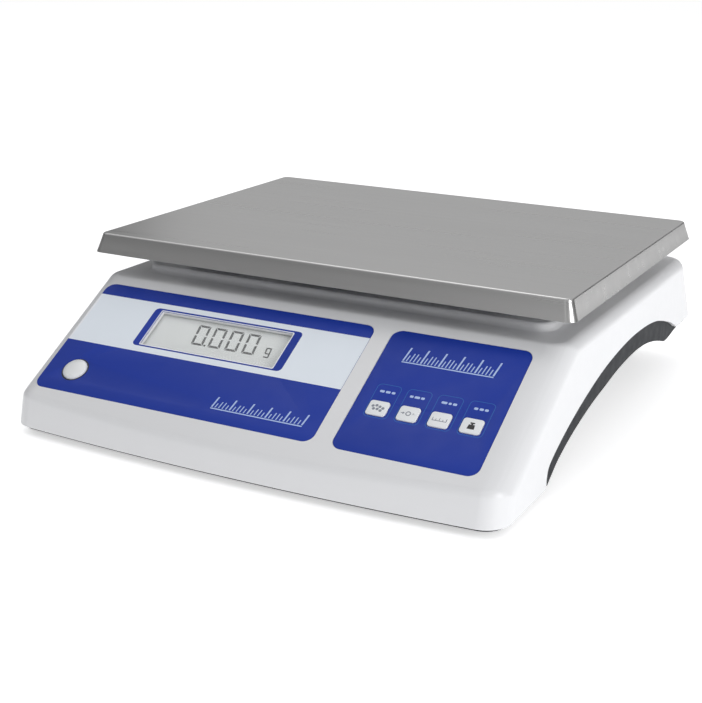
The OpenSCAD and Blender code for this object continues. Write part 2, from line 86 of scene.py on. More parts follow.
def world():
    w = bpy.data.worlds.new("studio")
    bpy.context.scene.world = w
    w.use_nodes = True
    nt = w.node_tree
    nt.nodes.clear()
    out = nt.nodes.new("ShaderNodeOutputWorld")
    bg = nt.nodes.new("ShaderNodeBackground")
    tc = nt.nodes.new("ShaderNodeTexCoord")
    sep = nt.nodes.new("ShaderNodeSeparateXYZ")
    ramp = nt.nodes.new("ShaderNodeValToRGB")
    nt.links.new(tc.outputs["Generated"], sep.inputs[0])
    nt.links.new(sep.outputs["Z"], ramp.inputs[0])
    nt.links.new(ramp.outputs[0], bg.inputs[0])
    nt.links.new(bg.outputs[0], out.inputs[0])
    cr = ramp.color_ramp
    cr.interpolation = "EASE"
    stops = [(0.0, 0.07), (0.16, 0.16), (0.30, 0.34), (0.42, 0.60), (0.75, 0.95), (1.0, 1.0)]
    while len(cr.elements) < len(stops):
        cr.elements.new(0.5)
    for el, (p, v) in zip(cr.elements, stops):
        el.position = p
        el.color = (v, v * 1.002, v * 1.01, 1)
    bg.inputs[1].default_value = 0.62

world()
area("key_top", (-0.6, 0.5, 2.0), (0, 0, 0.05), 1.4, 1.4, 7)
area("right_card", (1.9, -0.75, 0.75), (0.1, -0.05, 0.06), 0.5, 1.1, 20)
area("back_card", (-0.5, 2.1, 0.75), (0, 0, 0.09), 2.2, 1.1, 2.4)
area("front_card", (-0.15, -2.4, 0.95), (0.1, -0.1, 0.06), 0.9, 0.8, 1.0)
bpy.context.scene.view_settings.view_transform = "Standard"

# ------------------------------------------------------------------ materials
def nodes_of(m):
    m.use_nodes = True
    nt = m.node_tree
    return nt, nt.nodes["Principled BSDF"]

def noise(nt, scale, detail=2.0, stretch=(1, 1, 1)):
    tc = nt.nodes.new("ShaderNodeTexCoord")
    mp = nt.nodes.new("ShaderNodeMapping")
    mp.inputs["Scale"].default_value = stretch
    nz = nt.nodes.new("ShaderNodeTexNoise")
    nz.inputs["Scale"].default_value = scale
    nz.inputs["Detail"].default_value = detail
    nt.links.new(tc.outputs["Object"], mp.inputs[0])
    nt.links.new(mp.outputs[0], nz.inputs["Vector"])
    return nz.outputs["Fac"]

def mat(name, color, rough=0.45, metal=0.0, vary=0.04, vscale=14.0, rvary=0.05, bump=0.05,
        bscale=1600.0, dist=0.00004, stretch=(1, 1, 1), detail=3.0, **extra):
    m = bpy.data.materials.new(name)
    nt, b = nodes_of(m)
    lo = [max(0, c * (1 - vary)) for c in color]
    hi = [min(1, c * (1 + vary)) for c in color]
    mix = nt.nodes.new("ShaderNodeMix")
    mix.data_type = "RGBA"
    mix.inputs[6].default_value = (*lo, 1)
    mix.inputs[7].default_value = (*hi, 1)
    big = noise(nt, vscale, 4.0, stretch)
    nt.links.new(big, mix.inputs[0])
    nt.links.new(mix.outputs[2], b.inputs["Base Color"])
    mr = nt.nodes.new("ShaderNodeMapRange")
    mr.inputs["From Min"].default_value = 0.3
    mr.inputs["From Max"].default_value = 0.7
    mr.inputs["To Min"].default_value = max(0.02, rough - rvary)
    mr.inputs["To Max"].default_value = min(1, rough + rvary)
    nt.links.new(noise(nt, bscale * 0.12, detail, stretch), mr.inputs["Value"])
    nt.links.new(mr.outputs[0], b.inputs["Roughness"])
    b.inputs["Metallic"].default_value = metal
    if bump:
        bp = nt.nodes.new("ShaderNodeBump")
        bp.inputs["Strength"].default_value = bump
        bp.inputs["Distance"].default_value = dist
        nt.links.new(noise(nt, bscale, detail, stretch), bp.inputs["Height"])
        nt.links.new(bp.outputs[0], b.inputs["Normal"])
    for k, v in extra.items():
        b.inputs[k.replace("_", " ")].default_value = v
    return m

M = {
    "abs_white": mat("abs_white", (0.74, 0.745, 0.76), 0.36, vary=0.012, bump=0.12, bscale=1500),
    "abs_dark": mat("abs_dark", (0.018, 0.020, 0.024), 0.6, vary=0.12, bump=0.35, bscale=1300, Specular_IOR_Level=0.2),
    "steel": mat("brushed_stainless", (0.63, 0.627, 0.622), 0.30, 1.0, vary=0.02, vscale=220, rvary=0.035,
                 bump=0.10, bscale=1500, dist=0.00002, stretch=(0.02, 1, 1), detail=4),
    "zinc": mat("bright_zinc", (0.62, 0.63, 0.65), 0.28, 1.0, vary=0.06, bump=0.1, bscale=900),
    "label_blue": mat("label_blue", (0.008, 0.036, 0.33), 0.42, vary=0.05, bump=0.10, bscale=900, Specular_IOR_Level=0.22),
    "label_light": mat("label_light", (0.80, 0.86, 0.93), 0.38, vary=0.015, bump=0.12, bscale=900),
    "label_edge": mat("label_edge_white", (0.86, 0.88, 0.92), 0.4, vary=0.01, bump=0.08, bscale=900),
    "label_teal": mat("label_teal", (0.02, 0.13, 0.44), 0.42, vary=0.05, bump=0.08, bscale=900, Specular_IOR_Level=0.22),
    "label_mark": mat("label_mark", (0.42, 0.55, 0.85), 0.4, vary=0.03, bump=0.08, bscale=900),
    "black_ink_and_gap_shade": mat("black_ink_and_gap_shade", (0.012, 0.012, 0.014), 0.45, vary=0.1, bump=0.05),
    "ink_grey": mat("ink_grey", (0.23, 0.25, 0.30), 0.5, vary=0.05, bump=0.05),
    "lcd": mat("lcd_polariser", (0.82, 0.84, 0.83), 0.42, vary=0.015, bump=0.05, bscale=2500),
    "clear": mat("clear_window", (0.9, 0.93, 0.93), 0.06, vary=0.01, rvary=0.01, bump=0.0, Alpha=0.10),
    "black_plastic": mat("black_plastic", (0.02, 0.02, 0.022), 0.42, vary=0.15, bump=0.2),
    "diffuser": mat("diffuser", (0.85, 0.89, 0.93), 0.5, vary=0.02, bump=0.05),
    "pcb": mat("solder_mask", (0.015, 0.11, 0.045), 0.3, vary=0.2, vscale=300, bump=0.3, bscale=500),
    "tin": mat("tinned_shield", (0.66, 0.66, 0.64), 0.35, 1.0, vary=0.06, bump=0.2, bscale=300),
    "components": mat("component_bodies", (0.05, 0.06, 0.10), 0.4, vary=0.5, vscale=120, bump=0.1),
    "nylon": mat("natural_nylon", (0.80, 0.77, 0.66), 0.5, vary=0.04, bump=0.15),
    "alu": mat("machined_aluminium", (0.74, 0.75, 0.76), 0.34, 1.0, vary=0.05, bump=0.3, bscale=900, stretch=(0.03, 1, 1)),
    "silicone": mat("silicone_coating", (0.80, 0.77, 0.68), 0.55, vary=0.06, vscale=60, bump=0.6, bscale=220, dist=0.0003),
    "battery": mat("battery_case", (0.04, 0.042, 0.05), 0.55, vary=0.12, bump=0.4, bscale=900),
    "brass": mat("brass", (0.70, 0.55, 0.26), 0.3, 1.0, vary=0.08, bump=0.1),
    "sheet": mat("plated_sheet", (0.58, 0.59, 0.61), 0.38, 1.0, vary=0.08, vscale=60, bump=0.2, bscale=500),
    "black_steel": mat("black_oxide", (0.05, 0.05, 0.052), 0.4, 0.6, vary=0.15, bump=0.2),
    "powder": mat("powder_coat", (0.035, 0.037, 0.04), 0.55, vary=0.1, bump=0.6, bscale=900, dist=0.0001),
    "rubber": mat("rubber", (0.02, 0.02, 0.021), 0.75, vary=0.15, bump=0.3, bscale=700),
    "button": mat("button_white", (0.80, 0.81, 0.82), 0.3, vary=0.01, bump=0.06),
    "key": mat("key_white", (0.82, 0.84, 0.86), 0.4, vary=0.01, bump=0.08),
    "pvc_red": mat("pvc_red", (0.55, 0.02, 0.02), 0.35, vary=0.08, bump=0.1),
    "pvc_grey": mat("pvc_grey", (0.07, 0.07, 0.075), 0.4, vary=0.1, bump=0.1),
    "vial": mat("vial_liquid", (0.55, 0.80, 0.12), 0.08, vary=0.03, rvary=0.02, bump=0.0, Alpha=0.75),
    "switch_red": mat("moulded_red", (0.6, 0.08, 0.05), 0.4, vary=0.05, bump=0.1),
}

USE = {
    "zinc": ["housing_screws", "lcd_pins", "board_screws", "base_plate_screws", "stop_screw", "stop_nut", "strap_screw",
             "foot_screw_front_left", "foot_screw_front_right", "foot_screw_rear_left", "foot_screw_rear_right"],
    "clear": ["display_window"], "lcd": ["lcd_glass"],
    "black_plastic": ["lcd_bezel", "processor_chip", "key_switches", "power_switch", "dc_jack", "level_bezel"],
    "diffuser": ["lcd_backlight"], "pcb": ["main_board", "keypad_board", "power_switch_board"],
    "tin": ["adc_shield"], "components": ["board_components"], "nylon": ["wire_sockets", "keypad_ribbon"],
    "alu": ["load_cell", "lower_spacer", "upper_spacer"], "silicone": ["gauge_cover"],
    "sheet": ["base_plate", "battery_strap"], "black_steel": ["lower_bolts", "upper_bolts"],
    "battery": ["battery"], "brass": ["battery_terminals", "foot_inserts"], "pvc_red": ["battery_leads"],
    "pvc_grey": ["load_cell_cable", "power_leads"], "vial": ["level_vial"], "powder": ["pan_support"],
    "rubber": ["pan_cushions", "foot_pad_front_left", "foot_pad_front_right", "foot_pad_rear_left", "foot_pad_rear_right"],
    "switch_red": ["switch_plunger"], "abs_white": ["upper_housing"], "abs_dark": ["lower_housing"],
    "label_blue": ["display_label", "keypad_label"], "steel": ["weighing_pan"], "button": ["power_button"],
    "key": ["count_key", "tare_key", "unit_key", "calibrate_key"],
}
for m, names in USE.items():
    for n in names:
        ob = NODE[n]
        ob.data.materials.clear()
        ob.data.materials.append(M[m])

# ------------------------------------------------------------------ mesh tools
def new_object(name, mesh):
    ob = bpy.data.objects.new(name, mesh)
    bpy.context.scene.collection.objects.link(ob)
    return ob

def drop(ob):
    me = ob.data
    bpy.data.objects.remove(ob)
    if me.users == 0:
        bpy.data.meshes.remove(me)

def evaluated(ob):
    dg = bpy.context.evaluated_depsgraph_get()
    me = bpy.data.meshes.new_from_object(ob.evaluated_get(dg), preserve_all_data_layers=True, depsgraph=dg)
    return me

def bake(ob):
    me = evaluated(ob)
    old = ob.data
    ob.modifiers.clear()
    ob.data = me
    if old.users == 0 and isinstance(old, bpy.types.Mesh):
        bpy.data.meshes.remove(old)
    return ob

def boolean(ob, other, op):
    m = ob.modifiers.new("b", "BOOLEAN")
    m.operation, m.object, m.solver = op, other, "EXACT"
    bake(ob)
    drop(other)
    return ob

def hull(points, name="hull"):
    bm = bmesh.new()
    for p in points:
        bm.verts.new((p[0] * S, p[1] * S, p[2] * S))
    bmesh.ops.remove_doubles(bm, verts=bm.verts, dist=1e-7)
    g = bmesh.ops.convex_hull(bm, input=bm.verts)
    inner = [v for v in set(g["geom_interior"]) | set(g["geom_unused"]) if isinstance(v, bmesh.types.BMVert)]
    bmesh.ops.delete(bm, geom=inner, context="VERTS")
    bmesh.ops.dissolve_limit(bm, angle_limit=0.0008, verts=bm.verts, edges=bm.edges)
    bmesh.ops.recalc_face_normals(bm, faces=bm.faces)
    me = bpy.data.meshes.new(name)
    bm.to_mesh(me)
    bm.free()
    return new_object(name, me)

def loft(loops, name="loft"):
    """closed solid through equal closed loops of points, capped at both ends"""
    bm = bmesh.new()
    rows = [[bm.verts.new((p[0] * S, p[1] * S, p[2] * S)) for p in lp] for lp in loops]
    n = len(rows[0])
    for a, b in zip(rows, rows[1:]):
        for i in range(n):
            bm.faces.new((a[i], a[(i + 1) % n], b[(i + 1) % n], b[i]))
    bm.faces.new(rows[0][::-1])
    bm.faces.new(rows[-1])
    bmesh.ops.recalc_face_normals(bm, faces=bm.faces)
    me = bpy.data.meshes.new(name)
    bm.to_mesh(me)
    bm.free()
    return new_object(name, me)

def prism(outline, z0, z1, name="prism"):
    return loft([[(x, y, z0) for x, y in outline], [(x, y, z1) for x, y in outline]], name)

def across(outline, w=320):
    return loft([[(-w / 2, y, z) for y, z in outline], [(w / 2, y, z) for y, z in outline]], "across")

def rod(x, y, z0, z1, r, n=48):
    return prism([(x + r * cos(2 * pi * i / n), y + r * sin(2 * pi * i / n)) for i in range(n)], z0, z1, "rod")

def join(obs, name="joined"):
    bm = bmesh.new()
    for o in obs:
        tmp = o.data.copy()
        tmp.transform(o.matrix_world)
        bm.from_mesh(tmp)
        bpy.data.meshes.remove(tmp)
    me = bpy.data.meshes.new(name)
    bm.to_mesh(me)
    bm.free()
    for o in obs:
        drop(o)
    return new_object(name, me)

def rrect(w, h, r, cx=0.0, cy=0.0, n=10):
    pts = []
    for sx, sy, a0 in ((1, 1, 0), (-1, 1, 90), (-1, -1, 180), (1, -1, 270)):
        for k in range(n + 1):
            a = rad(a0 + 90 * k / n)
            pts.append((cx + sx * (w / 2 - r) + r * cos(a), cy + sy * (h / 2 - r) + r * sin(a)))
    return pts

def smooth(ob, angle=30, weight=True):
    me = ob.data
    bm = bmesh.new()
    bm.from_mesh(me)
    for f in bm.faces:
        f.smooth = True
    lim = rad(angle)
    for e in bm.edges:
        e.smooth = not (len(e.link_faces) != 2 or e.calc_face_angle(0) > lim)
    bm.to_mesh(me)
    bm.free()
    if weight:
        w = ob.modifiers.new("wn", "WEIGHTED_NORMAL")
        w.keep_sharp = True
        w.weight = 50
        bake(ob)
    return ob

SLOPE = rad(30.4)
CON = Matrix.Translation((0, -0.161, 0.028)) @ Matrix.Rotation(SLOPE, 4, "X")

def console(ob):
    ob.data.transform(CON)
    return ob

# ------------------------------------------------------------------ housing form
HW, DECK, BOT, TRAY, LEG = 151.5, 75.0, 6.0, 4.0, 31.5
RT, RF = 8.0, 7.0
def con_zy(y): return 28 + (y + 161) * tan(SLOPE)
CREASE = -161 + (DECK - 28) / tan(SLOPE)
PROF = [(-176.5, BOT), (-173.4, con_zy(-173.4)), (CREASE, DECK), (145, DECK), (174, 31.7), (176.5, BOT)]
def bow(x): return 6 * (x / 150) ** 2
def nrm(a, b):
    d = (b[0] - a[0], b[1] - a[1])
    l = math.hypot(*d)
    return (-d[1] / l, d[0] / l)
def dot(a, b): return a[0] * b[0] + a[1] * b[1]
def meet(n1, d1, n2, d2):
    k = n1[0] * n2[1] - n1[1] * n2[0]
    return ((d1 * n2[1] - d2 * n1[1]) / k, (n1[0] * d2 - n2[0] * d1) / k)
def sup(n): return RT * abs(n[0]) + RF
def ring_at(i, b=0.0):
    s = b if i == 1 else 0.0
    n1, n2 = nrm(PROF[i - 1], PROF[i]), nrm(PROF[i], PROF[i + 1])
    p = (PROF[i - 1][0] + s, PROF[i - 1][1])
    return meet(n1, dot(n1, p) - sup(n1), n2, dot(n2, PROF[i + 1]) - sup(n2))

def form(t, z0, fine=True):
    nu, nv = (64, 20) if fine else (32, 10)
    cx = HW - RT - RF
    pts = []
    def ring(x, y, z, r, us):
        for u in us:
            for k in range(nv + 1):
                v = -pi / 2 + pi * k / nv
                q = RT + r * cos(v)
                pts.append((x + q * cos(u), y + q * sin(u), z + r * sin(v)))
    full = [2 * pi * i / nu for i in range(nu)]
    def foot(x, y, us):
        for u in us:
            for z in (z0, BOT + 0.5):
                pts.append((x + (RT + RF - t) * cos(u), y + (RT + RF - t) * sin(u), z))
    st = 24 if fine else 10
    for j in range(st + 1):
        x = -cx + 2 * cx * j / st
        us = full if j in (0, st) else [-pi / 2]
        p = ring_at(1, bow(x))
        ring(x, p[0], p[1], RF - t, us)
        foot(x, PROF[0][0] + bow(x) + RT + RF, us)
    for x in (-cx, cx):
        for i in (2, 3, 4):
            p = ring_at(i)
            ring(x, p[0], p[1], RF - t, full)
        foot(x, PROF[5][0] - RT - RF, full)
    return hull(pts, "form")

ARCH = [(-109.6, 1), (-109.5, 7), (-109.2, 14), (-104, 20.3), (-80, 31), (-50, 40.5), (-20, 47.2), (15, 51.2),
        (45, 51.6), (75, 49), (100, 43), (118, 37), (130, LEG), (140, 26)]
def cr(a, b, c, d, t):
    return 0.5 * ((2 * b) + (c - a) * t + (2 * a - 5 * b + 4 * c - d) * t * t + (3 * b - a - 3 * c + d) * t ** 3)
def arch_points(steps):
    out = []
    for i in range(1, len(ARCH) - 2):
        for k in range(steps):
            t = k / steps
            out.append(tuple(cr(ARCH[i - 1][j], ARCH[i][j], ARCH[i + 1][j], ARCH[i + 2][j], t) for j in (0, 1)))
    return out
ARC = arch_points(8)

LAB_L = (-50.3, 42.85, 183.0, 85.7)
LAB_R = (92.9, 42.85, 81.4, 85.7)
WIN = (-48.9, 57.3, 89.0, 26.9)
BTN, BTN_R = (-122.2, 16.5), 7.3
KEY_S = 30.3
def key_x(i): return 66.5 + 17.6 * i
PLAT = (0, 29.5, 264, 185)
POSTS = [(-70, -150), (70, -150), (-112, -50), (112, -50), (-80, 138), (80, 138)]
FEET = [(-96, -142), (96, -142), (-104, 138), (104, 138)]
LEVEL = (0, -46)

def platform():
    cx, cy, w, h = PLAT
    prof = [(-3.0, DECK - 4.0), (2.4, DECK - 0.6)]
    for k in range(0, 7):                       # hollow fillet at the foot
        a = rad(90 * k / 6)
        prof.append((2.2 - 2.2 * sin(a), DECK + 2.2 - 2.2 * cos(a) - 0.02))
    for k in range(0, 8):                       # rounded upper edge
        a = rad(90 * k / 7)
        prof.append((-1.9 + 1.9 * cos(a), DECK + 2.6 + 1.9 * sin(a)))
    loops = [[(x, y, z) for x, y in rrect(w + 2 * d, h + 2 * d, 10 + d, cx, cy, 14)] for d, z in prof]
    return loft(loops, "platform")

def upper():
    body = form(0, BOT)
    boolean(body, platform(), "UNION")
    inner = form(2.6, BOT - 3, fine=False)
    boolean(body, inner, "DIFFERENCE")
    boolean(body, prism(rrect(PLAT[2] - 5.2, PLAT[3] - 5.2, 8, PLAT[0], PLAT[1]), DECK - 8, DECK + 1.9), "DIFFERENCE")
    arch = across([(-109.5, -5)] + [p for p in ARC] + [(130, LEG), (200, LEG), (200, -5)])
    boolean(body, arch, "DIFFERENCE")
    cut = [prism(rrect(44, 48, 4, 51, 26.5), DECK - 9, DECK + 6), rod(LEVEL[0], LEVEL[1], DECK - 9, DECK + 6, 8.05, 64)]
    cut.append(console(prism(rrect(LAB_L[2] + 0.3, LAB_L[3] + 0.3, 6.1, LAB_L[0], LAB_L[1], 16), -0.7, 3)))
    cut.append(console(prism(rrect(LAB_R[2] + 0.3, LAB_R[3] + 0.3, 6.1, LAB_R[0], LAB_R[1], 16), -0.7, 3)))
    boolean(body, join(cut), "DIFFERENCE")
    cut = [console(prism(rrect(WIN[2], WIN[3], 0.8, WIN[0], WIN[1], 5), -6, 2)), console(rod(BTN[0], BTN[1], -6, 2, BTN_R + 0.3, 72))]
    for i in range(4):
        cut.append(console(prism(rrect(11.9, 10.3, 2.1, key_x(i), KEY_S, 8), -6, 2)))
    boolean(body, join(cut), "DIFFERENCE")
    smooth(body, 32)
    body.name = "upper_housing_shell"
    return body

def waist(y): return 119.5 + 29 * max(0, min(1, (110 - y) / 210)) ** 1.5
def deep(t):
    ys = [-100 + 5 * i for i in range(43)]
    right = [(148.5 - t, -200)] + [(waist(y) - t, y) for y in ys]
    right += [(119.5 - t, 150), (118.8 - t, 154), (116.6 - t, 157.4), (113.4 - t, 159.2), (110 - t, 160 - t)]
    return right + [(-x, y) for x, y in reversed(right)]
BAND = [(-118, -6), (-110, 0), (-100, 6), (-84, 13.5), (-68, 19.5), (-50, 24.5), (-30, 28.8), (-10, 31.8), (10, 34.8), (30, 36.5),
        (50, 37), (70, 35.6), (88, 32.4), (102, 28.8), (114, 25.6), (126, 26.2), (140, 27.8), (160, 27.6), (200, 27.4), (220, 27.4)]
def room(t):
    band = []
    for i in range(2, len(BAND) - 2):
        for k in range(4):
            band.append(tuple(cr(BAND[i - 1][j], BAND[i][j], BAND[i + 1][j], BAND[i + 2][j], k / 4) for j in (0, 1)))
    a = across([(-200, TRAY + t), (-103 - t, TRAY + t)] + [(y, z + t) for y, z in band] + [(200, 27.4 + t), (200, 120), (-200, 120)])
    boolean(a, prism([(-108 + t, 100), (108 - t, 100), (108 - t, 201), (-108 + t, 201)], 20.8 + t, 121), "UNION")
    return boolean(a, prism(deep(t), TRAY + t, 122), "UNION")

def lower():
    body = form(3.0, TRAY)
    boolean(body, room(0), "INTERSECT")
    boolean(body, prism([(-160, -190), (160, -190), (160, 190), (-160, 190)], 0, 56), "INTERSECT")
    inner = form(5.4, TRAY, fine=False)
    boolean(inner, prism([(-138, -160), (138, -160), (138, 130), (-138, 130)], 12, 80), "UNION")
    boolean(inner, room(2.4), "INTERSECT")
    boolean(body, inner, "DIFFERENCE")
    cut = [rod(x, y, 0, 11, 14, 72) for x, y in FEET]
    cut += [rod(x, y, 0, 8, 3.8, 40) for x, y in POSTS]
    boolean(body, join(cut), "DIFFERENCE")
    nose = rod(0, 0, 0, 30, 3.8, 40)
    nose.data.transform(Matrix.Translation((0.064, 0.18, 0.0272)) @ Matrix.Rotation(pi / 2, 4, "X"))
    boolean(body, nose, "DIFFERENCE")
    add = [rod(x, y, TRAY, 13.4, 15.4, 72) for x, y in FEET]
    sub = [rod(x, y, 0, 11, 14, 72) for x, y in FEET]
    rings = boolean(join(add), join(sub), "DIFFERENCE")
    boolean(body, rings, "UNION")
    boss = [rod(x, y, 11, 22, 8.5, 40) for x, y in FEET]
    boolean(body, join(boss), "UNION")
    boolean(body, join([rod(x, y, 2, 30, 6.05, 40) for x, y in FEET]), "DIFFERENCE")
    boss = [rod(x, y, 5, 11, 6, 40) for x, y in POSTS]
    cut = [rod(x, y, 0, 8, 3.8, 40) for x, y in POSTS]
    boolean(body, boolean(join(boss), join(cut), "DIFFERENCE"), "UNION")
    smooth(body, 32)
    body.name = "lower_housing_shell"
    return body

def give(ob, material, body, slot, *nodes):
    ob.data.materials.clear()
    ob.data.materials.append(M[material])
    for p in ob.data.polygons:
        p.material_index = 0
    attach(ob, body)
    if nodes:
        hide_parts(*nodes)
    return ob

give(upper(), "abs_white", "housing", "abs_white", "upper_housing")
give(lower(), "abs_dark", "housing", "abs_dark", "lower_housing")

# ------------------------------------------------------------------ pan
def pan():
    PW, PD, PZ, SK, SP, PY, T = 300.0, 219.5, 101.0, 11.7, 3.6, 26.5, 1.2
    def prof(t):
        r = 1.3 - t
        cx0, cz0 = -1.12, PZ - 1.3                # centre of the edge rounding, from the flat's half size
        bx, bz = SP, PZ - SK
        # tangent from the arc to the foot of the skirt
        dx, dz = (bx - t) - cx0, bz - cz0
        L = math.hypot(dx, dz)
        ang = math.atan2(dz, dx) + math.acos(r / L)
        pts = []
        for k in range(10):
            a = pi / 2 + (ang - pi / 2) * k / 9
            pts.append((cx0 + r * cos(a), cz0 + r * sin(a)))
        return pts, (bx - t, bz)
    def loop(d, z):
        rr = 4.0 + d * 0.4
        return [(x, y, z) for x, y in rrect(PW + 2 * d, PD + 2 * d, max(rr, 1), 0, PY, 14)]
    outer, obot = prof(0)
    inner, ibot = prof(T)
    steps = 4
    seq = [loop(d, z) for d, z in inner]
    last = inner[-1]
    for k in range(1, steps + 1):
        f = k / steps
        seq.append(loop(last[0] + (ibot[0] - last[0]) * f, last[1] + (ibot[1] - last[1]) * f))
    seq[-1] = loop(ibot[0] + 0.25, ibot[1] + 0.02)
    seq.append(loop(obot[0] - 0.25, obot[1]))
    seq.append(loop(obot[0], obot[1] + 0.25))
    lo = outer[-1]
    for k in range(steps - 1, 0, -1):
        f = k / steps
        seq.append(loop(lo[0] + (obot[0] - lo[0]) * f, lo[1] + (obot[1] - lo[1]) * f))
    seq += [loop(d, z) for d, z in outer[::-1]]
    ob = loft(seq, "pan_sheet")
    return smooth(ob, 40)

give(pan(), "steel", "pan", "stainless", "weighing_pan")

# ------------------------------------------------------------------ labels, print, a painted highlight and painted shade
def sheet(name, loops, n0, n1, bevel=0.0, segs=2):
    cu = bpy.data.curves.new(name, "CURVE")
    cu.dimensions, cu.fill_mode = "2D", "BOTH"
    for pts in loops:
        sp = cu.splines.new("POLY")
        sp.points.add(len(pts) - 1)
        for p, q in zip(sp.points, pts):
            p.co = (q[0] * S, q[1] * S, 0, 1)
        sp.use_cyclic_u = True
    cu.extrude = ((n1 - n0) / 2 - bevel) * S
    if bevel:
        cu.bevel_depth, cu.bevel_resolution, cu.offset = bevel * S, segs, -bevel * S
    tmp = new_object(name, cu)
    me = evaluated(tmp)
    bpy.data.objects.remove(tmp)
    bpy.data.curves.remove(cu)
    bm = bmesh.new()
    bm.from_mesh(me)
    bmesh.ops.remove_doubles(bm, verts=bm.verts, dist=2e-7)
    bmesh.ops.recalc_face_normals(bm, faces=bm.faces)
    bm.to_mesh(me)
    bm.free()
    me.materials.clear()
    me.transform(CON @ Matrix.Translation((0, 0, (n0 + n1) / 2 * S)))
    return smooth(new_object(name, me), 30, weight=False)

def circle(x, y, r, n=64):
    return [(x + r * cos(2 * pi * i / n), y + r * sin(2 * pi * i / n)) for i in range(n)]

def rrc(w, h, cx, cy, radii, n=12):
    """rounded rectangle with its own radius at each corner: right top, left top, left bottom, right bottom"""
    pts = []
    for (sx, sy, a0), r in zip(((1, 1, 0), (-1, 1, 90), (-1, -1, 180), (1, -1, 270)), radii):
        if r < 0.01:
            pts.append((cx + sx * w / 2, cy + sy * h / 2))
            continue
        for k in range(n + 1):
            a = rad(a0 + 90 * k / n)
            pts.append((cx + sx * (w / 2 - r) + r * cos(a), cy + sy * (h / 2 - r) + r * sin(a)))
    return pts

def rect(x0, x1, y0, y1): return [(x1, y1), (x0, y1), (x0, y0), (x1, y0)]

TOPN = -0.2
def label_overlay(name, loops, material, level=1, body="housing", slot="label_blue"):
    ob = sheet(name, loops, TOPN + 0.03 * (level - 1) - 0.002, TOPN + 0.03 * level)
    return give(ob, material, body, slot)

lab = sheet("display_label_sheet", [rrect(LAB_L[2], LAB_L[3], 6, LAB_L[0], LAB_L[1], 16),
            rrect(WIN[2], WIN[3], 0.8, WIN[0], WIN[1], 5), circle(BTN[0], BTN[1], BTN_R + 0.3)], -0.7, TOPN, 0.12)
give(lab, "label_blue", "housing", "label_blue", "display_label")
lab = sheet("keypad_label_sheet", [rrect(LAB_R[2], LAB_R[3], 6, LAB_R[0], LAB_R[1], 16)]
            + [rrect(11.9, 10.3, 2.1, key_x(i), KEY_S, 8) for i in range(4)], -0.7, TOPN, 0.12)
give(lab, "label_blue", "housing", "label_blue", "keypad_label")

xl, xr = LAB_L[0] - LAB_L[2] / 2, LAB_L[0] + LAB_L[2] / 2
label_overlay("print_light_band", [rect(xl + 0.15, xr - 0.15, 38.0, 76.4), rrect(100.0, 30.4, 3, -48.6, 57.4, 10)], "label_light")
# painted highlight: a white strip along the display label's left edge stands in for light caught on the edge of the
# label's recess
label_overlay("painted_left_edge_highlight", [rect(xl + 0.15, xl + 1.3, 38.0, 76.4)], "label_edge", 2)
label_overlay("print_window_line", [rrect(WIN[2] + 1.2, WIN[3] + 1.2, 1.0, WIN[0], WIN[1], 5), rrect(WIN[2], WIN[3], 0.8, WIN[0], WIN[1], 5)], "label_edge", 1)
# painted shade: a dark ring on the label round the power button's hole stands in for the shade in the gap between
# button and label; the same black also prints the digits and the weight icon
label_overlay("painted_button_gap_shade", [circle(BTN[0], BTN[1], BTN_R + 1.0), circle(BTN[0], BTN[1], BTN_R + 0.35)], "black_ink_and_gap_shade")

# graduation marks stand in the two places that carry words on such a label
def graduation(name, x0, x1, s0, s1, n, lean):
    loops = []
    h = s1 - s0
    for i in range(n):
        x = x0 + (x1 - x0 - 0.9 - lean * h) * i / (n - 1)
        top = s1 if i % 5 == 0 else s0 + h * (0.66 if i % 5 in (2, 3) else 0.5)
        k = lean
        w = 0.95 if i % 5 == 0 else 0.6
        loops.append([(x, s0 + 1.2), (x + w, s0 + 1.2), (x + w + k * (top - s0), top), (x + k * (top - s0), top)])
    loops.append([(x0, s0), (x1 - lean * h, s0), (x1 - lean * h, s0 + 0.7), (x0, s0 + 0.7)])
    label_overlay(name, loops, "label_mark")
graduation("print_scale_left", -25.5, 32.5, 8.9, 17.4, 26, 0.12)
graduation("print_scale_right", 65.5, 119.5, 63.7, 74.6, 26, 0.12)

for i in range(4):
    cx = key_x(i) + 0.5
    label_overlay(f"print_key_frame_{i + 1}", [rrect(14.0, 23.0, 2.6, cx, 35.5, 8), rrect(13.4, 22.4, 2.3, cx, 35.5, 8)], "label_teal")
    label_overlay(f"print_key_mark_{i + 1}", [rrect(w, 1.5, 0.5, cx + dx, 42.0, 4) for w, dx in
        (((2.6, -3.0), (2.6, 0.4), (2.0, 3.5)), ((2.0, -3.6), (3.0, -0.4), (2.0, 2.8)),
         ((3.2, -2.6), (1.6, 0.6), (2.2, 3.3)), ((2.2, -2.6), (2.2, 0.4), (2.0, 3.2)))[i]], "label_mark")

# ------------------------------------------------------------------ keys with icons
KEYS = ["count_key", "tare_key", "unit_key", "calibrate_key"]
for i, k in enumerate(KEYS):
    x = key_x(i)
    cap = sheet(k + "_cap", [rrect(11.4, 9.8, 1.8, x, KEY_S, 8)], -2.9, 0.3, 0.35, 3)
    fl = sheet(k + "_flange", [rrect(14, 12.4, 2.4, x, KEY_S, 8)], -3.5, -2.9)
    stem = console(rod(x, KEY_S, -3.95, -3.5, 2, 32))
    ob = join([cap, fl, stem], k + "_pad")
    smooth(ob, 35, weight=False)
    give(ob, "key", k, "button_white", k)

def key_ink(name, loops, key, material="ink_grey"):
    ob = sheet(name, loops, 0.298, 0.34)
    give(ob, material, key, "black_plastic")

